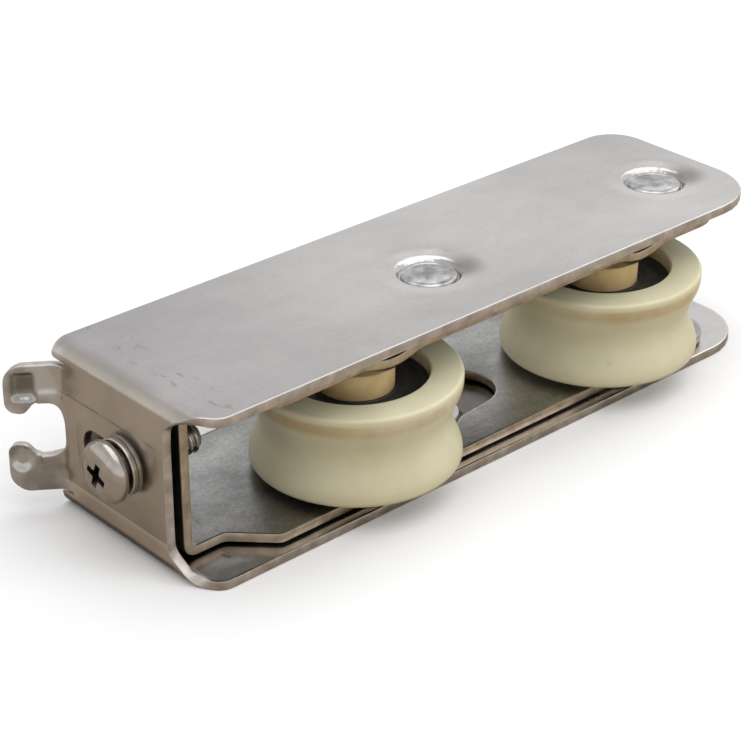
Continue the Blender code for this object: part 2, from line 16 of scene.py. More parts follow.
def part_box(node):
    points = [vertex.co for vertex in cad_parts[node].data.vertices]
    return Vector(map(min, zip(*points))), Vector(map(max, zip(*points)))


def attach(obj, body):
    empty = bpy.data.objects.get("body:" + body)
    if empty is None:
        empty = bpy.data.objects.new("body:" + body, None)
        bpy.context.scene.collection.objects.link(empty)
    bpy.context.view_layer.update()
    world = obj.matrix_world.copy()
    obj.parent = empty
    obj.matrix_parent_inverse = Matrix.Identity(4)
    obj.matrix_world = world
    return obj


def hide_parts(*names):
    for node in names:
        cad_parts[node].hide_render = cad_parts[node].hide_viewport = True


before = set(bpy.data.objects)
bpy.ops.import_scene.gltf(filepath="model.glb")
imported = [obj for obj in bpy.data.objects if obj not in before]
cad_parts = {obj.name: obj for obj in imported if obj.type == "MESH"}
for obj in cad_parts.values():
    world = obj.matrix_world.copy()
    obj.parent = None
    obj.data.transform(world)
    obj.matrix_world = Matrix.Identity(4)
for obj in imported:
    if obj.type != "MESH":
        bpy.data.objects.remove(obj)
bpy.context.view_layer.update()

MM = 0.001

# The roller's main sizes, which follow the CAD model.
LENGTH = 117.0
WIDTH = 34.0
HEIGHT = 27.0
SHEET = 1.5
MIDDLE = HEIGHT / 2
WHEEL_X = (36.6, 89.1)
WHEEL_Y = 10.2
WHEEL_Z = 11.7
GUIDE_X = (55.5, 106.2)
GUIDE_Y = 14.8
SCREW_Y = 18.2
SCREW_RADIUS = 2.45
SCREW_BORE = 2.55
CARRIAGE_WEB = 2.6
CARRIAGE_LOW = 1.9
CARRIAGE_END = 109.0
AXLE_HOLE = 4.1
DISH_DEPTH = 3.0
DIMPLE_DEPTH = 1.2
BOSS_DEPTH = 1.1
RAMP_RISE = math.radians(30)
ENTRY_RISE = math.radians(6)

ORIGIN = Vector((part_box("outer_housing")[1].x - LENGTH * MM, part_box("outer_housing")[0].y, 0))


def to_world(points):
    """Roller coordinates in millimetres to the shared frame in metres."""
    return np.asarray(points, float) * MM + np.array(ORIGIN)


# ---------------------------------------------------------------- materials


class Shader:
    """A node material with short calls for adding nodes and links."""

    def __init__(self, name):
        self.material = bpy.data.materials.new(name)
        self.material.use_nodes = True
        self.tree = self.material.node_tree
        self.main = self.tree.nodes["Principled BSDF"]
        self.place = self.add("ShaderNodeTexCoord").outputs["Object"]

    def add(self, kind, **values):
        node = self.tree.nodes.new(kind)
        for key, value in values.items():
            setattr(node, key, value)
        return node

    def link(self, source, target):
        self.tree.links.new(source, target)

    def mapped(self, scale):
        node = self.add("ShaderNodeMapping")
        node.inputs["Scale"].default_value = scale
        self.link(self.place, node.inputs["Vector"])
        return node.outputs["Vector"]

    def noise(self, scale, detail=3, stretch=(1, 1, 1), roughness=0.5):
        node = self.add("ShaderNodeTexNoise")
        node.inputs["Scale"].default_value = scale
        node.inputs["Detail"].default_value = detail
        node.inputs["Roughness"].default_value = roughness
        self.link(self.mapped(stretch), node.inputs["Vector"])
        return node.outputs["Fac"]

    def ramp(self, factor, stops):
        """Colours, or greys given as numbers, over a factor from 0 to 1."""
        node = self.add("ShaderNodeValToRGB")
        elements = node.color_ramp.elements
        while len(elements) < len(stops):
            elements.new(0.5)
        for element, (position, colour) in zip(elements, stops):
            element.position = position
            grey = isinstance(colour, (int, float))
            element.color = (colour, colour, colour, 1) if grey else (*colour, 1)
        self.link(factor, node.inputs["Fac"])
        return node.outputs["Color"]

    def math(self, operation, *values):
        node = self.add("ShaderNodeMath", operation=operation)
        for socket, value in zip(node.inputs, values):
            if isinstance(value, (int, float)):
                socket.default_value = value
            else:
                self.link(value, socket)
        return node.outputs["Value"]

    def axis(self, name):
        node = self.add("ShaderNodeSeparateXYZ")
        self.link(self.place, node.inputs["Vector"])
        return node.outputs[name]

    def reach(self, spot):
        """Distance from a spot in the shared frame."""
        node = self.add("ShaderNodeVectorMath", operation="DISTANCE")
        self.link(self.place, node.inputs[0])
        node.inputs[1].default_value = tuple(spot)
        return node.outputs["Value"]

    def spread(self, value, low, high):
        """0 at low, 1 at high, smooth between."""
        node = self.add("ShaderNodeMapRange", interpolation_type="SMOOTHSTEP")
        node.inputs["From Min"].default_value = low
        node.inputs["From Max"].default_value = high
        self.link(value, node.inputs["Value"])
        return node.outputs["Result"]

    def mix(self, factor, first, second, mode="MIX"):
        node = self.add("ShaderNodeMix", data_type="RGBA", blend_type=mode)
        for socket, value in ((node.inputs[0], factor), (node.inputs[6], first), (node.inputs[7], second)):
            if isinstance(value, (int, float)):
                socket.default_value = value
            elif isinstance(value, tuple):
                socket.default_value = (*value, 1)
            else:
                self.link(value, socket)
        return node.outputs[2]

    def product(self, first, *others):
        """All of the values multiplied together."""
        for other in others:
            first = self.math("MULTIPLY", first, other)
        return first

    def within(self, value, start, full, past, end):
        """1 between full and past, falling smoothly to 0 at start and at end."""
        return self.product(self.spread(value, start, full), self.spread(value, end, past))

    def bump(self, height, distance, strength=1.0, after=None):
        node = self.add("ShaderNodeBump")
        node.inputs["Distance"].default_value = distance
        node.inputs["Strength"].default_value = strength
        self.link(height, node.inputs["Height"])
        if after:
            self.link(after, node.inputs["Normal"])
        return node.outputs["Normal"]

    def finish(self, **values):
        for key, value in values.items():
            socket = self.main.inputs[key.replace("_", " ")]
            if isinstance(value, tuple):
                socket.default_value = (*value, 1) if len(socket.default_value) == 4 else value
            elif isinstance(value, (int, float)):
                socket.default_value = value
            else:
                self.link(value, socket)
        return self.material


def web_colour(s, reflection_tint):
    """The end web and its tabs: blotchy, with a painted warm reflection on the web, a lower band painted
    lighter as painted reflected light, a painted highlight line along the lower crease, a painted shade
    line along the upper crease and painted shade in the upper tab's pressed hollow.
    """
    blotches = s.ramp(s.noise(160, detail=5), [(0.35, 0.86), (0.65, 1.0)])
    colour = s.mix(1.0, reflection_tint, blotches, "MULTIPLY")
    # Painted light: the web's lower band, which leans down, is painted lighter to stand in for the light it
    # reflects.
    lower = s.mix(1.0, (0.95, 0.84, 0.74), blotches, "MULTIPLY")
    height, depth = s.axis("Z"), s.axis("Y")
    colour = s.mix(s.spread(height, 0.0046, 0.0050), lower, colour)
    # Painted highlight: a bright line along the lower crease.
    crease = s.within(height, 0.00465, 0.00495, 0.0051, 0.00545)
    colour = s.mix(s.product(crease, 0.8), colour, (1.0, 0.96, 0.9))
    # Painted shade: a broken dark line along the upper crease.
    upper_crease_shade = s.within(height, 0.01965, 0.0198, 0.0199, 0.02005)
    broken = s.ramp(s.noise(240), [(0.4, 0.1), (0.55, 0.8)])
    colour = s.mix(s.product(upper_crease_shade, broken), colour, (0.2, 0.175, 0.15))
    on_tab = s.spread(depth, ORIGIN.y + 0.0305, ORIGIN.y + 0.0335)
    # Painted shade in the upper tab's pressed hollow.
    tab_hollow_shade = s.within(height, 0.0183, 0.0203, 0.0213, 0.0231)
    back, front = ORIGIN.y + 0.0371, ORIGIN.y + 0.0339
    tab_hollow_shade = s.product(tab_hollow_shade, s.within(depth, front, front + MM, back - MM, back))
    polish = s.ramp(s.noise(260, detail=3), [(0.4, (0.5, 0.48, 0.46)), (0.6, (0.72, 0.705, 0.69))])
    return s.mix(on_tab, colour, s.mix(s.product(tab_hollow_shade, 0.85), polish, (0.16, 0.14, 0.12)))


def sheet_steel(name, light, dark, web_reflection_tint, roughness, cloud, speckle):
    """Rolled stainless sheet: cloudy, finely grained, with scuffs by the web's upper bend."""
    s = Shader(name)
    length, depth, height = s.axis("X"), s.axis("Y"), s.axis("Z")
    clouds = s.noise(cloud, detail=5, stretch=(0.6, 1, 1), roughness=0.6)
    colour = s.ramp(clouds, [(0.3, dark), (0.7, light)])
    specks = s.ramp(s.noise(1700, detail=4), [(0.35, speckle), (0.6, 1.0)])
    broad = s.ramp(s.noise(14, detail=2), [(0.4, 0.92), (0.62, 1.0)])
    colour = s.mix(1.0, s.mix(1.0, colour, specks, "MULTIPLY"), broad, "MULTIPLY")
    past_web = s.spread(length, ORIGIN.x + 0.0004, ORIGIN.x + 0.0032)
    # Painted warm reflection: the end web's colour is tinted warm.
    colour = s.mix(past_web, web_colour(s, web_reflection_tint), colour)
    shade = s.math("SUBTRACT", 1.0, s.spread(length, ORIGIN.x - 0.01, ORIGIN.x + 0.06))
    colour = s.mix(shade, colour, (0.84, 0.84, 0.845), "MULTIPLY")
    for x in GUIDE_X:
        # Painted shade: a dark reflection painted into each rivet dimple, beside the head.
        dimple_shade = s.spread(s.reach(to_world((x + 4.6, GUIDE_Y - 2.4, HEIGHT))), 0.0048, 0.0008)
        colour = s.mix(s.product(dimple_shade, 0.75), colour, (0.26, 0.235, 0.21))
    # Painted shade on the channel's floor, behind its front edge and under the carriage.
    channel_shade = s.product(
        s.spread(height, 0.0024, 0.0016),
        s.spread(depth, ORIGIN.y + 0.003, ORIGIN.y + 0.009),
        s.spread(length, ORIGIN.x + 0.107, ORIGIN.x + 0.1),
        0.85,
    )
    colour = s.mix(channel_shade, colour, (0.1, 0.09, 0.08))
    marks = s.spread(s.noise(1100, detail=2, stretch=(1, 0.3, 1)), 0.6, 0.64)
    by_bend = s.within(
        length, ORIGIN.x + 0.0035, ORIGIN.x + 0.0055, ORIGIN.x + 0.0075, ORIGIN.x + 0.0105
    )
    scuffs = s.product(marks, by_bend, s.spread(s.noise(150, detail=2), 0.44, 0.54))
    colour = s.mix(s.product(scuffs, 0.55), colour, (0.24, 0.23, 0.22))
    rough = s.ramp(s.noise(120, detail=3), [(0.3, roughness - 0.05), (0.7, roughness + 0.06)])
    rough = s.mix(s.product(scuffs, 0.6), rough, (0.6, 0.6, 0.6))
    wave = s.bump(s.noise(1.5 * cloud, detail=3), 0.02 / cloud, 0.7)
    grain = s.bump(s.noise(900, detail=2, stretch=(0.08, 1, 1)), 0.000012, 0.6, wave)
    scratched = s.bump(s.product(scuffs, -1.0), 0.00002, 0.7, grain)
    return s.finish(Base_Color=colour, Metallic=1.0, Roughness=rough, Normal=scratched)


def cut_edge(name, colour, dark):
    """Sheared sheet edge: rougher, warmer, with fine lines across the thickness."""
    s = Shader(name)
    tone = s.ramp(s.noise(420, detail=4), [(0.3, dark), (0.7, colour)])
    lines = s.noise(2600, detail=2, stretch=(1, 1, 0.1))
    return s.finish(
        Base_Color=tone, Metallic=1.0, Roughness=s.ramp(s.noise(700), [(0.3, 0.3), (0.7, 0.5)]),
        Normal=s.bump(lines, 0.00003, 0.5),
    )


def machined_steel(name, colour, dark, roughness):
    """Smooth, slightly mottled metal of a turned or pressed piece."""
    s = Shader(name)
    tone = s.ramp(s.noise(500, detail=4), [(0.3, dark), (0.7, colour)])
    rough = s.ramp(s.noise(900, detail=3), [(0.3, roughness - 0.05), (0.7, roughness + 0.08)])
    return s.finish(
        Base_Color=tone, Metallic=1.0, Roughness=rough, Normal=s.bump(s.noise(1500, detail=3), 0.00001, 0.6)
    )


def ivory_nylon(name):
    """Moulded nylon, a little translucent, with mould swirl and a band of painted tan shade below the upper
    rim.
    """
    s = Shader(name)
    swirl = s.noise(90, detail=4, roughness=0.6)
    colour = s.ramp(swirl, [(0.3, (0.6, 0.55, 0.365)), (0.7, (0.68, 0.645, 0.455))])
    stain = s.spread(s.noise(420, detail=3), 0.66, 0.78)
    colour = s.mix(s.product(stain, 0.25), colour, (0.42, 0.33, 0.18))
    # Painted shade: a tan band under the upper rim's overhang.
    rim_shade = s.within(s.axis("Z"), 0.0152, 0.0168, 0.0176, 0.0183)
    uneven = s.ramp(s.noise(130, detail=3), [(0.4, 0.25), (0.65, 0.75)])
    colour = s.mix(s.product(rim_shade, uneven), colour, (0.46, 0.33, 0.15))
    rings = s.noise(1500, detail=2, stretch=(0.15, 0.15, 1))
    pits = s.noise(2600, detail=2)
    normal = s.bump(pits, 0.00001, 0.5, s.bump(rings, 0.00002, 0.35))
    return s.finish(
        Base_Color=colour, Roughness=s.ramp(s.noise(300), [(0.3, 0.36), (0.7, 0.48)]), Normal=normal,
        Subsurface_Weight=0.2, Subsurface_Radius=(0.0016, 0.0012, 0.0006), Subsurface_Scale=1.0,
        Specular_IOR_Level=0.45,
    )


def plastic(name, colour, dark, roughness, grain):
    """Moulded plastic or rubber with a fine grain."""
    s = Shader(name)
    tone = s.ramp(s.noise(260, detail=4), [(0.3, dark), (0.7, colour)])
    rough = s.ramp(s.noise(600, detail=2), [(0.3, roughness - 0.06), (0.7, roughness + 0.08)])
    return s.finish(Base_Color=tone, Roughness=rough, Normal=s.bump(s.noise(1800, detail=3), grain, 0.7))


def pale_floor():
    """Pale paper floor, which is seen white and gives a warm tan light back to the roller."""
    s = Shader("pale_floor")
    paper = s.ramp(s.noise(40, detail=3), [(0.3, (0.9, 0.9, 0.9)), (0.7, (0.92, 0.92, 0.92))])
    s.finish(Base_Color=paper, Roughness=0.9, Specular_IOR_Level=0.0)
    warm = s.add("ShaderNodeBsdfDiffuse")
    warm.inputs["Color"].default_value = (0.44, 0.385, 0.325, 1)
    direct = s.add("ShaderNodeLightPath").outputs["Is Camera Ray"]
    blend = s.add("ShaderNodeMixShader")
    s.link(direct, blend.inputs["Fac"])
    s.link(warm.outputs["BSDF"], blend.inputs[1])
    s.link(s.main.outputs["BSDF"], blend.inputs[2])
    s.link(blend.outputs["Shader"], s.tree.nodes["Material Output"].inputs["Surface"])
    return s.material


# Each sheet's third colour is the painted warm reflection on its end web.
STEEL = sheet_steel(
    "stainless_sheet", (0.77, 0.75, 0.738), (0.56, 0.545, 0.535), (0.6, 0.55, 0.475),
    roughness=0.23, cloud=32, speckle=0.96,
)
INNER_STEEL = sheet_steel(
    "stainless_inner", (0.62, 0.615, 0.605), (0.2, 0.2, 0.195), (0.5, 0.42, 0.3),
    roughness=0.3, cloud=75, speckle=0.8,
)
EDGE = cut_edge("sheared_edge", (0.68, 0.635, 0.59), (0.42, 0.375, 0.335))
INNER_EDGE = cut_edge("sheared_inner_edge", (0.62, 0.52, 0.39), (0.38, 0.31, 0.23))
RIVET = machined_steel("rivet_steel", (0.64, 0.64, 0.64), (0.26, 0.255, 0.25), 0.28)
# Painted shade: the screw's cross recess is made near-black steel.
RECESS_SHADE = machined_steel("recess_shade", (0.1, 0.09, 0.08), (0.035, 0.03, 0.028), 0.4)
SCREW = machined_steel("screw_steel", (0.56, 0.52, 0.48), (0.4, 0.365, 0.33), 0.2)
BEARING = machined_steel("bearing_steel", (0.66, 0.66, 0.67), (0.56, 0.56, 0.57), 0.16)
NYLON = ivory_nylon("ivory_nylon")
SPACER = plastic("tan_spacer", (0.92, 0.7, 0.36), (0.72, 0.5, 0.22), 0.36, 0.00001)
SEAL = plastic("black_seal", (0.022, 0.021, 0.02), (0.01, 0.01, 0.01), 0.5, 0.00002)
BRASS = machined_steel("brass_cage", (0.75, 0.56, 0.25), (0.6, 0.43, 0.18), 0.3)

# ---------------------------------------------------------------- mesh tools


def make_piece(name, points, faces, materials, body, replaces, face_material=None, smooth=35):
    """A piece from points in roller coordinates, which rides on a body and stands for a CAD node."""
    mesh = bpy.data.meshes.new(name)
    mesh.from_pydata(to_world(points).tolist(), [], [tuple(int(i) for i in face) for face in faces])
    for material in materials:
        mesh.materials.append(material)
    if face_material is not None:
        mesh.polygons.foreach_set("material_index", np.asarray(face_material, np.int32))
    mesh.validate()
    bm = bmesh.new()
    bm.from_mesh(mesh)
    bmesh.ops.recalc_face_normals(bm, faces=bm.faces)
    bm.to_mesh(mesh)
    bm.free()
    mesh.shade_smooth()
    mesh.set_sharp_from_angle(angle=math.radians(smooth))
    obj = bpy.data.objects.new(name, mesh)
    bpy.context.scene.collection.objects.link(obj)
    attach(obj, body)
    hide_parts(replaces)
    return obj


def rounded(corners, steps=8):
    """Points of a closed outline whose corners, given as (x, y, radius), are rounded."""
    points = []
    for i, (x, y, radius) in enumerate(corners):
        corner = Vector((x, y))
        before = (Vector(corners[i - 1][:2]) - corner).normalized()
        after = (Vector(corners[(i + 1) % len(corners)][:2]) - corner).normalized()
        half = before.angle(after) / 2
        if radius == 0 or half > math.radians(89):
            points.append(tuple(corner))
            continue
        centre = corner + (before + after).normalized() * (radius / math.sin(half))
        start = corner + before * (radius / math.tan(half)) - centre
        sweep = -math.copysign(math.pi - 2 * half, before.cross(after))
        for step in range(steps + 1):
            points.append(tuple(centre + Matrix.Rotation(sweep * step / steps, 2) @ start))
    return points


def divided(points, step):
    """The same closed outline with no edge longer than step."""
    made = []
    for i, point in enumerate(points):
        start, end = np.array(point, float), np.array(points[(i + 1) % len(points)], float)
        count = max(1, math.ceil(np.linalg.norm(end - start) / step))
        made += [start + (end - start) * k / count for k in range(count)]
    return np.array(made)


def area(loop):
    """Signed area, positive if the loop runs anticlockwise."""
    nxt = np.roll(loop, -1, axis=0)
    return 0.5 * np.sum(loop[:, 0] * nxt[:, 1] - nxt[:, 0] * loop[:, 1])


def inset(loop, distance):
    """The loop moved to its left, into the material."""
    before = loop - np.roll(loop, 1, axis=0)
    after = np.roll(loop, -1, axis=0) - loop
    before /= np.linalg.norm(before, axis=1)[:, None]
    after /= np.linalg.norm(after, axis=1)[:, None]
    left = np.stack([-(before + after)[:, 1], (before + after)[:, 0]], axis=1)
    left /= np.linalg.norm(left, axis=1)[:, None]
    lean = np.clip(left[:, 1] * after[:, 0] - left[:, 0] * after[:, 1], 0.6, 1)
    return loop + left * (distance / lean)[:, None]


def inside(points, loops):
    """Which points lie inside the outline and outside its holes."""
    odd = np.zeros(len(points), bool)
    x, y = points[:, 0], points[:, 1]
    for loop in loops:
        for (x0, y0), (x1, y1) in zip(loop, np.roll(loop, -1, axis=0)):
            if y0 != y1:
                odd ^= ((y0 > y) != (y1 > y)) & (x < (x1 - x0) * (y - y0) / (y1 - y0) + x0)
    return odd


def triangles(loops, seeds):
    """Fills the loops: (points, triangles), with the loops' own points first."""
    fixed = np.concatenate(loops)
    edges, base = [], 0
    for loop in loops:
        edges += [(base + i, base + (i + 1) % len(loop)) for i in range(len(loop))]
        base += len(loop)
    seeds = seeds[inside(seeds, loops)]
    near = np.array([np.min(np.hypot(*(fixed - seed).T)) for seed in seeds])
    points = np.concatenate([fixed, seeds[near > 0.3]])
    found = delaunay_2d_cdt([Vector(p) for p in points], edges, [], 0, 1e-6, True)
    made = np.array([tuple(v) for v in found[0]])
    source = [min(ids) if ids else -1 for ids in found[3]]
    faces = np.array([face for face in found[2] if len(face) == 3])
    faces = faces[inside(made[faces].mean(axis=1), loops)]
    order = np.array(source)
    if (order < 0).any():
        raise ValueError("an outline crosses itself")
    return points, order[faces]


def grid(u_lines, v_lines):
    """Every crossing of two sets of lines."""
    return np.stack(np.meshgrid(u_lines, v_lines), axis=-1).reshape(-1, 2)


def circle(centre, radius, count):
    """Points around a circle."""
    angles = np.arange(count) * math.tau / count
    return np.array(centre) + radius * np.stack([np.cos(angles), np.sin(angles)], axis=1)


def ring_seeds(centre, radii, spacing):
    """Points on circles, for a patch that needs a finer mesh."""
    made = []
    for radius in radii:
        count = max(8, int(math.tau * radius / spacing))
        made.append(circle(centre, radius, count))
    return np.concatenate(made)


def sheet(outline, holes, seeds, place, edge):
    """A sheet with rounded cut edges: (points, faces, material index of each face)."""
    loops = [outline if area(outline) > 0 else outline[::-1]]
    loops += [hole if area(hole) < 0 else hole[::-1] for hole in holes]
    levels = [(1.9 * edge, 0), (edge, 0), (0.29 * edge, 0.29 * edge), (0, edge)]
    levels += [(0, SHEET - edge), (0.29 * edge, SHEET - 0.29 * edge), (edge, SHEET), (1.9 * edge, SHEET)]
    flat, tris = triangles([inset(loop, 1.9 * edge) for loop in loops], seeds)
    loop_count = sum(len(loop) for loop in loops)
    points = [place(flat[:, 0], flat[:, 1], np.zeros(len(flat)))]
    points.append(place(flat[:, 0], flat[:, 1], np.full(len(flat), SHEET)))
    faces = [tuple(t) for t in tris] + [tuple(t[::-1] + len(flat)) for t in tris]
    kinds = [0] * len(faces)
    previous = np.arange(loop_count)
    total = 2 * len(flat)
    for number, (shift, depth) in enumerate(levels[1:], 1):
        if number < len(levels) - 1:
            moved = np.concatenate([inset(loop, shift) if shift else loop for loop in loops])
            points.append(place(moved[:, 0], moved[:, 1], np.full(len(moved), float(depth))))
            current = total + np.arange(loop_count)
            total += loop_count
        else:
            current = len(flat) + np.arange(loop_count)
        base = 0
        for loop in loops:
            for i in range(len(loop)):
                a, b = base + i, base + (i + 1) % len(loop)
                faces.append((previous[b], previous[a], current[a], current[b]))
                kinds.append(1 if 3 <= number <= 5 else 0)
            base += len(loop)
        previous = current
    return np.concatenate(points), faces, kinds


def smooth_step(value, low, high):
    """0 below low, 1 above high, smooth between."""
    t = np.clip((value - low) / (high - low), 0, 1)
    return t * t * (3 - 2 * t)


def bent_path(segments, step=0.02):
    """A line of (length, turn) segments as arrays: distance, sideways, forward and heading."""
    distance, across, forward, heading = [0.0], [0.0], [0.0], [0.0]
    for length, turn in segments:
        count = max(1, round(length / step))
        for _ in range(count):
            middle = heading[-1] + turn / count / 2
            distance.append(distance[-1] + length / count)
            across.append(across[-1] + math.sin(middle) * length / count)
            forward.append(forward[-1] + math.cos(middle) * length / count)
            heading.append(heading[-1] + turn / count)
    return tuple(np.array(values) for values in (distance, across, forward, heading))


def along(path, distance):
    """Sideways, forward and heading at each distance along a path."""
    return tuple(np.interp(distance, path[0], values) for values in path[1:])


def turned(profile, segments):
    """A ring or disc from its (radius, height) section: points round Z and faces."""
    profile = [tuple(p) for p in profile]
    angles = np.arange(segments) * math.tau / segments
    points, rows = [], []
    for radius, height in profile:
        if radius < 1e-6:
            rows.append([len(points)] * segments)
            points.append((0.0, 0.0, height))
        else:
            rows.append(list(range(len(points), len(points) + segments)))
            points += [(radius * math.cos(a), radius * math.sin(a), height) for a in angles]
    faces = []
    for first, second in zip(rows, rows[1:] + rows[:1]):
        for i in range(segments):
            j = (i + 1) % segments
            face = []
            for index in (first[i], first[j], second[j], second[i]):
                if index not in face:
                    face.append(index)
            if len(face) > 2:
                faces.append(face)
    return np.array(points), faces


# ---------------------------------------------------------------- outer housing


def housing_folds():
    """Upper and lower halves of the web, from its middle out to the flanges' far end."""
    folds = []
    for flat, tilt, radius in ((6.35, 3.0, 2.7), (8.6, 9.5, 1.9)):
        lean = math.radians(tilt)
        crease = 0.5
        rest = MIDDLE - flat - crease * math.cos(lean / 2) - radius * (1 - math.sin(lean))
        straight = rest / math.cos(lean)
        turn = math.pi / 2 - lean
        segments = [(flat, 0), (crease, lean), (straight, 0), (radius * turn, turn)]
        bend = bent_path(segments)
        folds.append((bent_path(segments + [(LENGTH - bend[1][-1], 0)]), bend[0][-1], bend[1][-1]))
    return folds


(UPPER, UPPER_BEND, UPPER_X), (LOWER, LOWER_BEND, LOWER_X) = housing_folds()
TAB_ROOT = 31.2
TAB_SPAN = 10.3
TAB_TIP = 40.1
TAB_PATH = bent_path(
    [(2.0 * math.radians(55), -math.radians(55)), (4.2, 0), (1.05, math.radians(20)), (6.0, 0)]
)


def flange_u(x, upper=True):
    """Where on the blank a flange's X lies."""
    return UPPER_BEND + x - UPPER_X if upper else -(LOWER_BEND + x - LOWER_X)


def housing_outline():
    """Outline of the housing's flat blank, with its tabs."""
    slit = TAB_ROOT - 0.3
    sides = []
    for bend, start in ((UPPER_BEND, UPPER_X), (LOWER_BEND, LOWER_X)):
        end = bend + LENGTH - start
        sides.append(
            [
                (9.9, 8.0, 2.0), (bend + 1.2, 0, 3.0), (end, 0, 10.5), (end, WIDTH, 6.0),
                (TAB_SPAN + 0.6, WIDTH, 0.9), (TAB_SPAN + 0.6, slit, 0), (TAB_SPAN, slit, 0),
                (TAB_SPAN, TAB_TIP, 3.0), (2.6, TAB_TIP, 1.6), (2.6, TAB_TIP - 3.0, 1.3),
                (4.3, TAB_TIP - 4.4, 1.2), (4.3, slit, 3.2),
            ]
        )
    upper, lower = sides
    return rounded(upper + [(-u, v, r) for u, v, r in reversed(lower)])


def housing_relief(u, v):
    """How far the outer and the inner face are pressed in, in millimetres."""
    outer = np.zeros_like(u)
    inner = np.zeros_like(u)
    for x in GUIDE_X:
        for upper in (True, False):
            reach = np.hypot(u - flange_u(x, upper), v - GUIDE_Y)
            outer += (DIMPLE_DEPTH - 0.5) * (1 - smooth_step(reach, 4.6, 5.2))
            outer += 0.5 * (1 - smooth_step(reach, 4.2, 8.8))
            inner += BOSS_DEPTH * (1 - smooth_step(reach, 5.0, 5.7))
    lip = np.hypot(np.maximum(np.abs(u) - 4.3, 0), np.maximum(TAB_ROOT - v, 0))
    near_mouth = (1 - smooth_step(lip, 1.0, 2.7)) * (v < TAB_ROOT + 4) * (np.abs(u) < 9.5)
    draw = -0.33 * near_mouth
    outer += draw
    inner += draw
    upper_dent = smooth_step(u, 4.4, 5.6) * (1 - smooth_step(u, 8.3, 9.5))
    upper_dent *= smooth_step(v, 34.9, 36.2) * (1 - smooth_step(v, 38.2, 39.4))
    lower_dent = 1 - smooth_step(np.hypot((u + 4.6) / 2.6, (v - 38.2) / 2.1), 0.45, 1.0)
    outer += 0.8 * upper_dent + 0.7 * lower_dent
    return outer, inner


def place_housing(u, v, depth):
    """Where a point of the housing's flat blank lies once folded, with its pressed relief."""
    share = depth / SHEET
    outer, inner = housing_relief(u, v)
    depth = depth + outer * (1 - share) + inner * share
    rise = np.where(u > 0, 1.0, -1.0)
    up, low = along(UPPER, np.abs(u)), along(LOWER, np.abs(u))
    across, forward, heading = (np.where(u > 0, a, b) for a, b in zip(up, low))
    on_tab = (v > TAB_ROOT) & (np.abs(u) < TAB_SPAN + 0.3)
    side, ahead, lean = along(TAB_PATH, np.maximum(v - TAB_ROOT, 0))
    x = across + np.where(on_tab, side, 0)
    y = np.where(on_tab, TAB_ROOT + ahead, v)
    lean = np.where(on_tab, lean, 0)
    x += np.cos(lean) * np.cos(heading) * depth
    y -= np.sin(lean) * depth
    z = MIDDLE + rise * (forward - np.sin(heading) * np.cos(lean) * depth)
    return np.stack([x, y, z], axis=1)


def stadium(start, end, radius, steps=20):
    """Outline of a straight slot with round ends."""
    start, end = Vector(start), Vector(end)
    ahead = (end - start).normalized()
    side = Vector((-ahead.y, ahead.x))
    points = []
    for centre, first in ((end, -side), (start, side)):
        for step in range(steps + 1):
            points.append(tuple(centre + Matrix.Rotation(math.pi * step / steps, 2) @ first * radius))
    return points


def make_housing():
    """Outer channel with its adjusting slot, tabs, dimples and dents."""
    outline = divided(housing_outline(), 0.6)
    slot = divided(stadium((0.0, SCREW_Y - 0.3), (0.0, SCREW_Y + 5.9), 2.75), 0.4)
    seeds = [
        grid(np.arange(flange_u(2, False) - 116, flange_u(116), 0.9), np.arange(0.5, 40, 0.9)),
        grid(np.arange(-14.5, 14.6, 0.3), np.arange(0.4, 40, 0.7)),
        grid(np.arange(-10.2, 10.3, 0.3), np.arange(27.5, 40, 0.3)),
    ]
    for x in GUIDE_X:
        for upper in (True, False):
            seeds.append(ring_seeds((flange_u(x, upper), GUIDE_Y), np.arange(3.2, 10.5, 0.35), 0.5))
    points, faces, kinds = sheet(outline, [slot], np.concatenate(seeds), place_housing, 0.2)
    make_piece(
        "housing_sheet", points, faces, [STEEL, EDGE], "housing", "outer_housing", kinds
    )


# ---------------------------------------------------------------- inner carriage

CARRIAGE_HALF = MIDDLE - CARRIAGE_LOW
CARRIAGE_RADIUS = 2.2
CARRIAGE_FLAT = CARRIAGE_HALF - CARRIAGE_RADIUS
CARRIAGE_BEND = CARRIAGE_FLAT + CARRIAGE_RADIUS * math.pi / 2
CARRIAGE_PATH = bent_path(
    [
        (CARRIAGE_FLAT, 0),
        (CARRIAGE_RADIUS * math.pi / 2, math.pi / 2),
        (CARRIAGE_END - CARRIAGE_WEB - CARRIAGE_RADIUS, 0),
    ]
)


def carriage_u(x):
    """Distance across the carriage's flat blank of a place on the flange."""
    return CARRIAGE_BEND + x - CARRIAGE_WEB - CARRIAGE_RADIUS


def place_carriage(u, v, depth):
    """Where a point of the carriage's flat blank lies once folded, with its axle dishes."""
    for x in WHEEL_X:
        reach = np.hypot(np.abs(u) - carriage_u(x), v - WHEEL_Y)
        depth = depth + DISH_DEPTH * (1 - smooth_step(reach, 5.6, 10.4))
    rise = np.where(u > 0, 1.0, -1.0)
    across, forward, heading = along(CARRIAGE_PATH, np.abs(u))
    x = CARRIAGE_WEB + across + np.cos(heading) * depth
    z = MIDDLE + rise * (forward - np.sin(heading) * depth)
    return np.stack([x, v, z], axis=1)


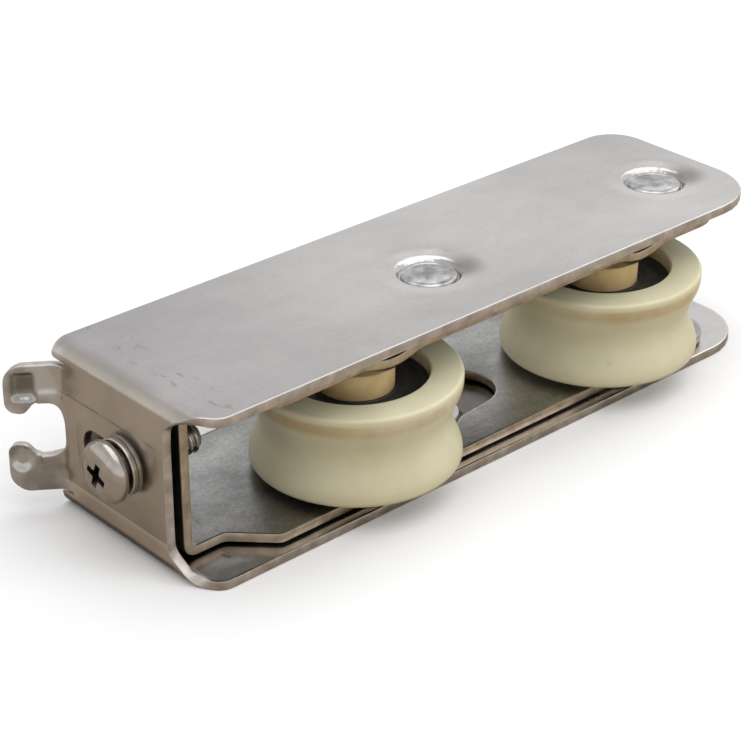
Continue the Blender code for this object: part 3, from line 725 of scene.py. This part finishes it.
def ramp_slot(x, steps=14):
    """Outline of one slot in the flange: a 30 degree ramp that turns into a nearly straight entry."""
    radius = 5.8
    first = Vector((math.cos(RAMP_RISE), math.sin(RAMP_RISE)))
    second = Vector((math.cos(ENTRY_RISE), math.sin(ENTRY_RISE)))
    bend = Vector((carriage_u(x), GUIDE_Y))
    low, end = bend - first * 5.2, bend + second * 7.7
    turn = RAMP_RISE - ENTRY_RISE
    left = Vector((-first.y, first.x))
    inner = -(left + Matrix.Rotation(-turn, 2) @ left).normalized() * (radius / math.cos(turn / 2))
    quarter = math.pi / 2
    arcs = (
        (end, -quarter - turn, quarter - turn),
        (bend, quarter - turn, quarter),
        (low, quarter, 3 * quarter),
    )
    points = [tuple(bend + inner)]
    for centre, start, stop in arcs:
        for step in range(steps + 1):
            angle = start + (stop - start) * step / steps
            points.append(tuple(centre + Matrix.Rotation(angle, 2) @ first * radius))
    return points


def open_slot(x, end, steps=14):
    """The last slot's outline, where it runs out of the flange's end, from its lower to its upper edge."""
    points = ramp_slot(x, steps)
    inner, rest = points[0], points[steps + 2:]
    rise = math.tan(ENTRY_RISE)
    upper = rest[0]
    lower_exit = (end, inner[1] + (end - inner[0]) * rise)
    upper_exit = (end, upper[1] + (end - upper[0]) * rise)
    return [lower_exit, inner] + rest[::-1] + [upper_exit]


def make_carriage():
    """Inner channel with its ramp slots, axle holes and tapped hole."""
    neck = carriage_u(9.6)
    end = carriage_u(CARRIAGE_END)
    half = [(neck, 7.6, 2.0), (neck + 5.8, 1.8, 2.0), (end, 1.8, 6.0)]
    half += [(u, v, 0) for u, v in open_slot(GUIDE_X[1], end)] + [(end, 31.0, 6.0)]
    outline = divided(rounded(half + [(-u, v, r) for u, v, r in reversed(half)]), 0.6)
    holes = [circle((0.0, SCREW_Y), SCREW_BORE, 40)]
    for x in WHEEL_X:
        holes += [circle((side * carriage_u(x), WHEEL_Y), AXLE_HOLE, 48) for side in (1, -1)]
    slot = ramp_slot(GUIDE_X[0])
    holes.append(divided(slot, 0.5))
    holes.append(divided([(-u, v) for u, v in slot], 0.5))
    rows = np.arange(7.5, 31, 0.95)
    seeds = [
        grid(np.arange(-end, end, 0.95), np.arange(2.2, 31, 0.95)),
        grid(np.arange(-CARRIAGE_BEND - 1, -CARRIAGE_FLAT + 1, 0.35), rows),
        grid(np.arange(CARRIAGE_FLAT - 1, CARRIAGE_BEND + 1, 0.35), rows),
    ]
    for x in WHEEL_X:
        for side in (1, -1):
            seeds.append(ring_seeds((side * carriage_u(x), WHEEL_Y), np.arange(4.9, 11.2, 0.35), 0.6))
    points, faces, kinds = sheet(outline, holes, np.concatenate(seeds), place_carriage, 0.2)
    make_piece(
        "carriage_sheet", points, faces, [INNER_STEEL, INNER_EDGE], "carriage", "inner_carriage",
        kinds,
    )


# ---------------------------------------------------------------- turned pieces


def make_turned(name, profile, segments, centre, material, body, node, turn=None, smooth=35):
    """Piece turned about an upright axis, or about another if a turn is given."""
    points, faces = turned(profile, segments)
    if turn is not None:
        points = points @ np.array(turn).T
    points = points + np.array(centre)
    make_piece(name, points, faces, [material], body, node, smooth=smooth)


def arc(centre, radius, start, stop, steps=6):
    """Points on an arc between two angles in degrees."""
    angles = [math.radians(start + (stop - start) * k / steps) for k in range(steps + 1)]
    return [(centre[0] + radius * math.cos(a), centre[1] + radius * math.sin(a)) for a in angles]


def tyre_profile():
    """Section of the grooved tyre: a flat face with crisp rims, a hollow tread and a faint parting line."""
    half, outer, bore, lip, rim = 7.3, 15.875, 11.0, 0.3, 0.6
    profile = arc((bore + lip, half - lip), lip, 90, 180, 4)
    profile += arc((bore + lip, -half + lip), lip, 180, 270, 4)
    profile += arc((outer - 1.2, -half + 1.2), 1.2, 270, 355, 8)
    reach = half - 1.6
    heights = np.linspace(-reach + 0.25, reach, 37)
    waist = 1.65 * ((1 + np.cos(math.pi * heights / reach)) / 2) ** 0.85
    parting = 0.04 * np.exp(-((heights - 0.1) / 0.12) ** 2)
    profile += [(outer - 0.02 - dip + line, height) for height, dip, line in zip(heights, waist, parting)]
    profile += arc((outer - rim, half - rim), rim, 5, 90, 6)
    return profile


def seal_profile(side):
    """Black bearing shield with a rim, a shallow ring groove and an inner lip."""
    low = 4.45
    top = low + 0.55
    bore, rim = 6.05, 10.85
    outline = [(bore, low), (rim, low), (rim, top), (10.3, top), (10.0, top - 0.2), (9.2, top - 0.2)]
    outline += [(8.9, top), (7.3, top), (7.0, top - 0.18), (6.5, top - 0.18), (6.3, top), (bore, top)]
    return [(radius, side * height) for radius, height in outline]


def make_wheel(number, x):
    """Grooved tyre, two bearing shields and the two spacers of one wheel."""
    name = f"wheel_{number}"
    centre = (x, WHEEL_Y, WHEEL_Z)
    make_turned(
        f"{name}_tyre_turned", tyre_profile(), 160, centre, NYLON, name, f"{name}_tyre",
        smooth=50,
    )
    for end, side in (("top", 1), ("bottom", -1)):
        make_turned(
            f"{name}_shield_{end}", seal_profile(side), 96, centre, SEAL, name, f"{name}_seal_{end}",
        )
    spans = {"top": (4.45, 8.75), "bottom": (-5.15, -4.45)}
    for end, (low, high) in spans.items():
        soft = 0.35 if end == "top" else 0.1
        corners = [(AXLE_HOLE, low, 0), (5.8, low, soft / 2), (5.8, high, soft), (AXLE_HOLE, high, 0)]
        make_turned(
            f"{name}_hub_{end}", rounded(corners, 4), 96, centre, SPACER, "carriage",
            f"{name}_spacer_{end}",
        )


def make_guide_rivet(number, x, upper):
    """Flat sunk head with a bevelled rim and a shallow ring, over a shank and an inner tail."""
    floor, head = HEIGHT - DIMPLE_DEPTH, 0.45
    low, tail = floor + 0.05, floor - SHEET - 0.05
    top = low + head
    shank, head_radius = 2.4, 4.35
    profile = [(0, tail - 0.5), (3.5, tail - 0.5), (3.7, tail - 0.35), (3.7, tail), (shank, tail)]
    profile += [(shank, low), (4.3, low), (head_radius, low + 0.1), (head_radius, top - 0.3)]
    profile += [(4.27, top - 0.12), (4.1, top - 0.02), (3.9, top)]
    profile += [(3.55, top), (3.45, top - 0.07), (3.2, top - 0.07), (3.1, top - 0.02), (0, top - 0.02)]
    side = 1 if upper else -1
    profile = [(radius, side * (height - MIDDLE)) for radius, height in profile]
    end = "upper" if upper else "lower"
    make_turned(
        f"rivet_head_{number}_{end}", profile, 72, (x, GUIDE_Y, MIDDLE), RIVET, "housing",
        f"guide_rivet_{number}_{end}",
    )


# ---------------------------------------------------------------- adjusting screw

SCREW_TURN = Matrix.Rotation(math.pi / 2, 3, "Y")
WASHER_OUT = -0.85
HEAD_UNDER = -1.58
HEAD_TOP = -4.15
HEAD_RADIUS = 4.7
THREAD_PITCH = 1.06
THREAD_START, THREAD_END, TIP = 3.4, 12.0, 12.8


def screw_rings(angles):
    """Rings along the screw from its tip to the head's middle, as (radius at each angle, height)."""
    rings = []
    coarse = np.arange(3.3, HEAD_UNDER, -0.6)
    for height in np.concatenate([np.arange(TIP, THREAD_START, -0.07), coarse, [HEAD_UNDER]]):
        phase = (height / THREAD_PITCH - angles / math.tau) % 1.0
        ridge = np.clip(1.25 - 2.6 * np.abs(phase - 0.5), 0, 1)
        fade = smooth_step(height, THREAD_START, 4.2) * (1 - smooth_step(height, THREAD_END, TIP))
        radius = SCREW_RADIUS - 0.42 * (1 - ridge) * fade - 0.5 * smooth_step(height, 12.2, TIP)
        rings.append((radius, height))
    rim = HEAD_UNDER - 0.75
    dome = [(4.15, HEAD_UNDER), (4.5, HEAD_UNDER - 0.12)]
    dome += [(HEAD_RADIUS, HEAD_UNDER - 0.45), (HEAD_RADIUS, rim)]
    steps = 12
    for step in range(1, steps + 1):
        angle = math.pi / 2 * step / steps
        radius = HEAD_RADIUS * (0.42 + 0.58 * math.cos(angle))
        dome.append((radius, rim - (rim - HEAD_TOP) * math.sin(angle)))
    return rings + [(np.full(len(angles), radius), height) for radius, height in dome]


def make_screw():
    """Screw with a helical thread and a cross recess."""
    sides = 64
    angles = np.arange(sides) * math.tau / sides
    rows = screw_rings(angles)
    points = [(0.0, 0.0, rows[0][1])]
    for radius, height in rows:
        points += [(r * math.cos(a), r * math.sin(a), height) for r, a in zip(radius, angles)]
    points.append((0.0, 0.0, rows[-1][1]))
    faces = [(0, 1 + (i + 1) % sides, 1 + i) for i in range(sides)]
    for row in range(len(rows) - 1):
        base = 1 + row * sides
        for i in range(sides):
            j = (i + 1) % sides
            faces.append((base + i, base + j, base + sides + j, base + sides + i))
    base, last = 1 + (len(rows) - 1) * sides, len(points) - 1
    faces += [(last, base + i, base + (i + 1) % sides) for i in range(sides)]
    placed = np.array(points) @ np.array(SCREW_TURN).T + np.array((0, SCREW_Y, MIDDLE))
    screw = make_piece(
        "screw_turned", placed, faces, [SCREW], "screw", "adjusting_screw", smooth=40
    )
    cut = cross_cutter()
    modifier = screw.modifiers.new("cross_recess", "BOOLEAN")
    modifier.object = cut
    modifier.solver = "EXACT"
    modifier.material_mode = "TRANSFER"
    bpy.context.view_layer.update()
    graph = bpy.context.evaluated_depsgraph_get()
    mesh = bpy.data.meshes.new_from_object(screw.evaluated_get(graph))
    mesh.shade_smooth()
    mesh.set_sharp_from_angle(angle=math.radians(40))
    screw.modifiers.clear()
    screw.data = mesh
    bpy.data.objects.remove(cut)


def cross_cutter():
    """Tapered cross with flared corners, for the screw's recess."""
    arm, half, flare = 2.25, 0.58, 1.0
    outline = []
    for quarter in range(4):
        turn = Matrix.Rotation(quarter * math.pi / 2 + math.radians(20), 2)
        for x, y in ((arm, -half), (arm, half), (flare, half), (half + 0.12, half + 0.12)):
            outline.append(turn @ Vector((x, y)))
    top, bottom = HEAD_TOP - 1.0, HEAD_TOP + 2.1
    points = [(p.x * 1.12, p.y * 1.12, top) for p in outline]
    points += [(p.x * 0.42, p.y * 0.42, bottom) for p in outline]
    count = len(outline)
    faces = [tuple(range(count)), tuple(reversed(range(count, 2 * count)))]
    faces += [(i, (i + 1) % count, count + (i + 1) % count, count + i) for i in range(count)]
    placed = np.array(points) @ np.array(SCREW_TURN).T + np.array((0, SCREW_Y, MIDDLE))
    mesh = bpy.data.meshes.new("cross_cutter")
    mesh.from_pydata(to_world(placed).tolist(), [], faces)
    # The recess faces get the painted-shade material.
    mesh.materials.append(RECESS_SHADE)
    bm = bmesh.new()
    bm.from_mesh(mesh)
    bmesh.ops.recalc_face_normals(bm, faces=bm.faces)
    bm.to_mesh(mesh)
    bm.free()
    obj = bpy.data.objects.new("cross_cutter", mesh)
    bpy.context.scene.collection.objects.link(obj)
    obj.hide_render = True
    return obj


def make_washer():
    """Plain washer between the screw's head and the housing."""
    bore, rim, seat = SCREW_BORE, 4.4, -0.05
    corners = [(bore, seat, 0), (bore, WASHER_OUT, 0.1), (rim, WASHER_OUT, 0.3), (rim, seat, 0.05)]
    make_turned(
        "washer_turned", rounded(corners, 5), 80, (0, SCREW_Y, MIDDLE), SCREW, "washer", "screw_washer",
        SCREW_TURN,
    )


# ---------------------------------------------------------------- camera, light and floor

CAMERA_PLACE = Vector((-148.01, -197.82, 169.68))
CAMERA_AZIMUTH = math.radians(-42.06)
CAMERA_ELEVATION = math.radians(28.55)
CAMERA_LENS = 105.86


def aim(obj, direction):
    """Turn a camera or a lamp to look along a direction."""
    obj.rotation_mode = "QUATERNION"
    obj.rotation_quaternion = Vector(direction).to_track_quat("-Z", "Y")


def make_camera():
    """Camera that sees the roller as in the photo."""
    data = bpy.data.cameras.new("camera")
    data.sensor_width = 36.0
    data.lens = CAMERA_LENS
    data.clip_start, data.clip_end = 0.01, 20
    camera = bpy.data.objects.new("camera", data)
    bpy.context.scene.collection.objects.link(camera)
    camera.location = CAMERA_PLACE * MM + ORIGIN
    level = math.cos(CAMERA_ELEVATION)
    ahead = (-math.sin(CAMERA_AZIMUTH) * level, math.cos(CAMERA_AZIMUTH) * level)
    aim(camera, (*ahead, -math.sin(CAMERA_ELEVATION)))
    bpy.context.scene.camera = camera


def area_light(name, place, size, power, mirrored=True):
    """Rectangular lamp aimed at the origin; mirrored says if steel shows its reflection."""
    data = bpy.data.lights.new(name, "AREA")
    data.shape = "RECTANGLE"
    data.size, data.size_y = size
    data.energy = power
    lamp = bpy.data.objects.new(name, data)
    bpy.context.scene.collection.objects.link(lamp)
    lamp.location = place
    lamp.visible_glossy = mirrored
    aim(lamp, -Vector(place))


def make_world():
    """Grey studio sky, brighter low down."""
    world = bpy.data.worlds.new("studio")
    world.use_nodes = True
    nodes, links = world.node_tree.nodes, world.node_tree.links
    place = nodes.new("ShaderNodeTexCoord")
    split = nodes.new("ShaderNodeSeparateXYZ")
    ramp = nodes.new("ShaderNodeValToRGB")
    links.new(place.outputs["Generated"], split.inputs["Vector"])
    links.new(split.outputs["Z"], ramp.inputs["Fac"])
    stops = [(0.0, 0.95), (0.3, 0.9), (0.5, 0.8), (0.75, 0.62), (1.0, 0.8)]
    elements = ramp.color_ramp.elements
    while len(elements) < len(stops):
        elements.new(0.5)
    for element, (position, grey) in zip(elements, stops):
        element.position = position
        element.color = (grey, grey, grey * 1.005, 1)
    links.new(ramp.outputs["Color"], nodes["Background"].inputs["Color"])
    nodes["Background"].inputs["Strength"].default_value = 1.0
    bpy.context.scene.world = world


def make_floor():
    """Broad floor just below the roller."""
    mesh = bpy.data.meshes.new("floor")
    reach = 6.0
    corners = [(-reach, -reach, 0), (reach, -reach, 0), (reach, reach, 0), (-reach, reach, 0)]
    mesh.from_pydata(corners, [], [(0, 1, 2, 3)])
    mesh.materials.append(pale_floor())
    floor = bpy.data.objects.new("floor", mesh)
    bpy.context.scene.collection.objects.link(floor)
    floor.location.z = -0.00002


def finish_cad_nodes():
    """Materials for the CAD nodes that stay in view or inside the bearings."""
    for name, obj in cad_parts.items():
        if obj.hide_render:
            continue
        if "cage" in name:
            finish = BRASS
        elif "axle" in name:
            finish = RIVET
        else:
            finish = BEARING
        obj.data.materials.clear()
        obj.data.materials.append(finish)


make_camera()
make_world()
area_light("overhead", (0.25, -0.1, 0.9), (1.5, 1.5), 7.5)
area_light("front_fill", (0.7, -0.8, 0.5), (0.5, 0.5), 1.7, mirrored=False)
make_floor()
make_housing()
make_carriage()
for index, wheel_x in enumerate(WHEEL_X, 1):
    make_wheel(index, wheel_x)
for index, guide_x in enumerate(GUIDE_X, 1):
    make_guide_rivet(index, guide_x, True)
    make_guide_rivet(index, guide_x, False)
make_screw()
make_washer()
finish_cad_nodes()
bpy.context.scene.view_settings.view_transform = "Standard"
